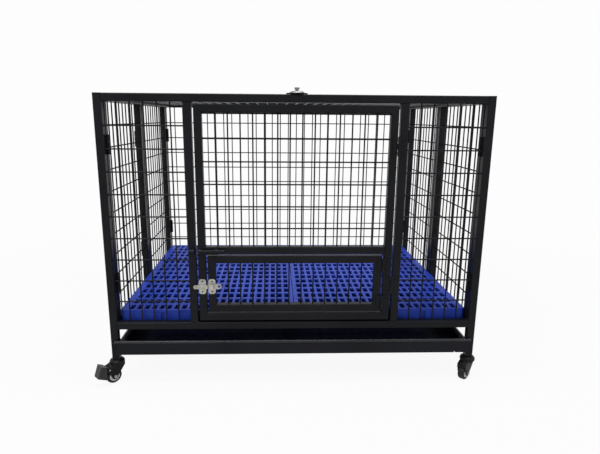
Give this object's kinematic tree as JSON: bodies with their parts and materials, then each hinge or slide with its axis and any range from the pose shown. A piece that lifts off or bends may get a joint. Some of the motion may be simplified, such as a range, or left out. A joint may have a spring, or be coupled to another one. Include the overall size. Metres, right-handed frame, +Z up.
{
  "type": "heavy duty dog crate",
  "caption": "Wheeled steel tube and wire dog crate with a front door, feeder door, lift-up lid, slotted plastic floor, pull-out tray and swivel casters, made to fold flat",
  "frame": {"origin": "on the ground under the middle of the overall box", "axes": "+X to the right seen from the front, front towards -Y, +Z up"},
  "size_m": [1.022, 0.7752, 0.7434],
  "materials": {
    "powder_black": "satin black powder coat",
    "tray_black": "satin black coated sheet",
    "zinc": "bright zinc plate",
    "dull_zinc": "dull grey zinc plate",
    "blue_plastic": "satin moulded plastic",
    "black_plastic": "satin moulded plastic",
    "grey_plastic": "satin moulded plastic",
    "black_rubber": "smooth hard tread"
  },
  "bodies": {
    "crate": {"front_frame": "powder_black", "front_mesh": "powder_black", "back_frame": "powder_black", "back_mesh": "powder_black", "left_front_panel": "powder_black", "left_rear_panel": "powder_black", "right_front_panel": "powder_black", "right_rear_panel": "powder_black", "left_mesh": "powder_black", "right_mesh": "powder_black", "fold_hinge_leaves": "powder_black", "hinge_pins": "powder_black", "post_caps": "black_plastic", "floor_supports": "powder_black", "tray_runners": "powder_black", "door_hinge_leaves": "powder_black", "lid_hinge_leaves": "powder_black", "door_keeper": "powder_black", "caster_sockets": "black_plastic", "caster_stems": "zinc"},
    "door": {"door_frame": "powder_black", "door_mesh": "powder_black", "door_hinge_straps": "powder_black", "door_bolt_case": "powder_black", "feeder_latch_guide": "zinc", "feeder_hinge_leaves": "powder_black", "feeder_hinge_pins": "powder_black"},
    "feeder": {"feeder_frame": "powder_black", "feeder_mesh": "powder_black", "feeder_hinge_straps": "powder_black", "feeder_latch_keeper": "zinc"},
    "door_bolt": {"door_bolt": "powder_black"},
    "feeder_bolt": {"feeder_bolt": "zinc"},
    "lid": {"lid_frame": "powder_black", "lid_mesh": "powder_black", "lid_hinge_straps": "powder_black", "lid_tongue": "powder_black", "lid_dome": "dull_zinc"},
    "lid_knob": {"lid_knob": "dull_zinc"},
    "tray": {"tray": "tray_black"},
    "floor_left": {"floor_tile_left": "blue_plastic"},
    "floor_right": {"floor_tile_right": "blue_plastic"},
    "caster_front_left": {"fork_front_left": "black_plastic", "axle_front_left": "zinc"},
    "wheel_front_left": {"hub_front_left": "grey_plastic", "tyre_front_left": "black_rubber"},
    "caster_front_right": {"fork_front_right": "black_plastic", "axle_front_right": "zinc"},
    "wheel_front_right": {"hub_front_right": "grey_plastic", "tyre_front_right": "black_rubber"},
    "caster_back_left": {"fork_back_left": "black_plastic", "axle_back_left": "zinc"},
    "wheel_back_left": {"hub_back_left": "grey_plastic", "tyre_back_left": "black_rubber"},
    "caster_back_right": {"fork_back_right": "black_plastic", "axle_back_right": "zinc"},
    "wheel_back_right": {"hub_back_right": "grey_plastic", "tyre_back_right": "black_rubber"},
    "pedal_front": {"brake_pedal_front": "black_plastic"},
    "pedal_rear": {"brake_pedal_rear": "black_plastic"}
  },
  "joints": [
    {"name": "door_swing", "type": "hinge", "parent": "crate", "child": "door", "pos_m": [0.24375, -0.3538, 0.1685], "axis": [0, 0, 1], "range_deg": [0, 165]},
    {"name": "feeder_swing", "type": "hinge", "parent": "door", "child": "feeder", "pos_m": [0.22025, -0.3538, 0.192], "axis": [0, 0, -1], "range_deg": [-150, 0]},
    {"name": "door_bolt_slide", "type": "slide", "parent": "door", "child": "door_bolt", "axis": [-1, 0, 0], "range_m": [0, 0.016]},
    {"name": "feeder_bolt_slide", "type": "slide", "parent": "door", "child": "feeder_bolt", "axis": [1, 0, 0], "range_m": [0, 0.01]},
    {"name": "lid_swing", "type": "hinge", "parent": "crate", "child": "lid", "pos_m": [0, 0.3295, 0.7318], "axis": [-1, 0, 0], "range_deg": [0, 175]},
    {"name": "lid_knob_turn", "type": "hinge", "parent": "lid", "child": "lid_knob", "pos_m": [0, -0.3405, 0.728], "axis": [0, 0, 1], "continuous": true},
    {"name": "tray_slide", "type": "slide", "parent": "crate", "child": "tray", "axis": [0, -1, 0], "range_m": [0, 0.7]},
    {"name": "floor_left_lift", "type": "slide", "parent": "crate", "child": "floor_left", "axis": [0, 0, 1], "range_m": [0, 0.5]},
    {"name": "floor_right_lift", "type": "slide", "parent": "crate", "child": "floor_right", "axis": [0, 0, 1], "range_m": [0, 0.5]},
    {"name": "swivel_front_left", "type": "hinge", "parent": "crate", "child": "caster_front_left", "pos_m": [-0.4605, -0.3405, 0.06], "axis": [0, 0, 1], "continuous": true},
    {"name": "roll_front_left", "type": "hinge", "parent": "caster_front_left", "child": "wheel_front_left", "pos_m": [-0.47016, -0.3492, 0.02], "axis": [0.6691, -0.7431, 0], "continuous": true},
    {"name": "brake_front", "type": "hinge", "parent": "caster_front_left", "child": "pedal_front", "pos_m": [-0.47982, -0.3579, 0.042], "axis": [0.6691, -0.7431, 0], "range_deg": [-12, 0]},
    {"name": "swivel_front_right", "type": "hinge", "parent": "crate", "child": "caster_front_right", "pos_m": [0.4605, -0.3405, 0.06], "axis": [0, 0, 1], "continuous": true},
    {"name": "roll_front_right", "type": "hinge", "parent": "caster_front_right", "child": "wheel_front_right", "pos_m": [0.45084, -0.3492, 0.02], "axis": [0.6691, -0.7431, 0], "continuous": true},
    {"name": "swivel_back_left", "type": "hinge", "parent": "crate", "child": "caster_back_left", "pos_m": [-0.4605, 0.3405, 0.06], "axis": [0, 0, 1], "continuous": true},
    {"name": "roll_back_left", "type": "hinge", "parent": "caster_back_left", "child": "wheel_back_left", "pos_m": [-0.45084, 0.3492, 0.02], "axis": [-0.6691, 0.7431, 0], "continuous": true},
    {"name": "swivel_back_right", "type": "hinge", "parent": "crate", "child": "caster_back_right", "pos_m": [0.4605, 0.3405, 0.06], "axis": [0, 0, 1], "continuous": true},
    {"name": "roll_back_right", "type": "hinge", "parent": "caster_back_right", "child": "wheel_back_right", "pos_m": [0.47016, 0.3492, 0.02], "axis": [-0.6691, 0.7431, 0], "continuous": true},
    {"name": "brake_rear", "type": "hinge", "parent": "caster_back_right", "child": "pedal_rear", "pos_m": [0.47982, 0.3579, 0.042], "axis": [-0.6691, 0.7431, 0], "range_deg": [-12, 0]}
  ]
}
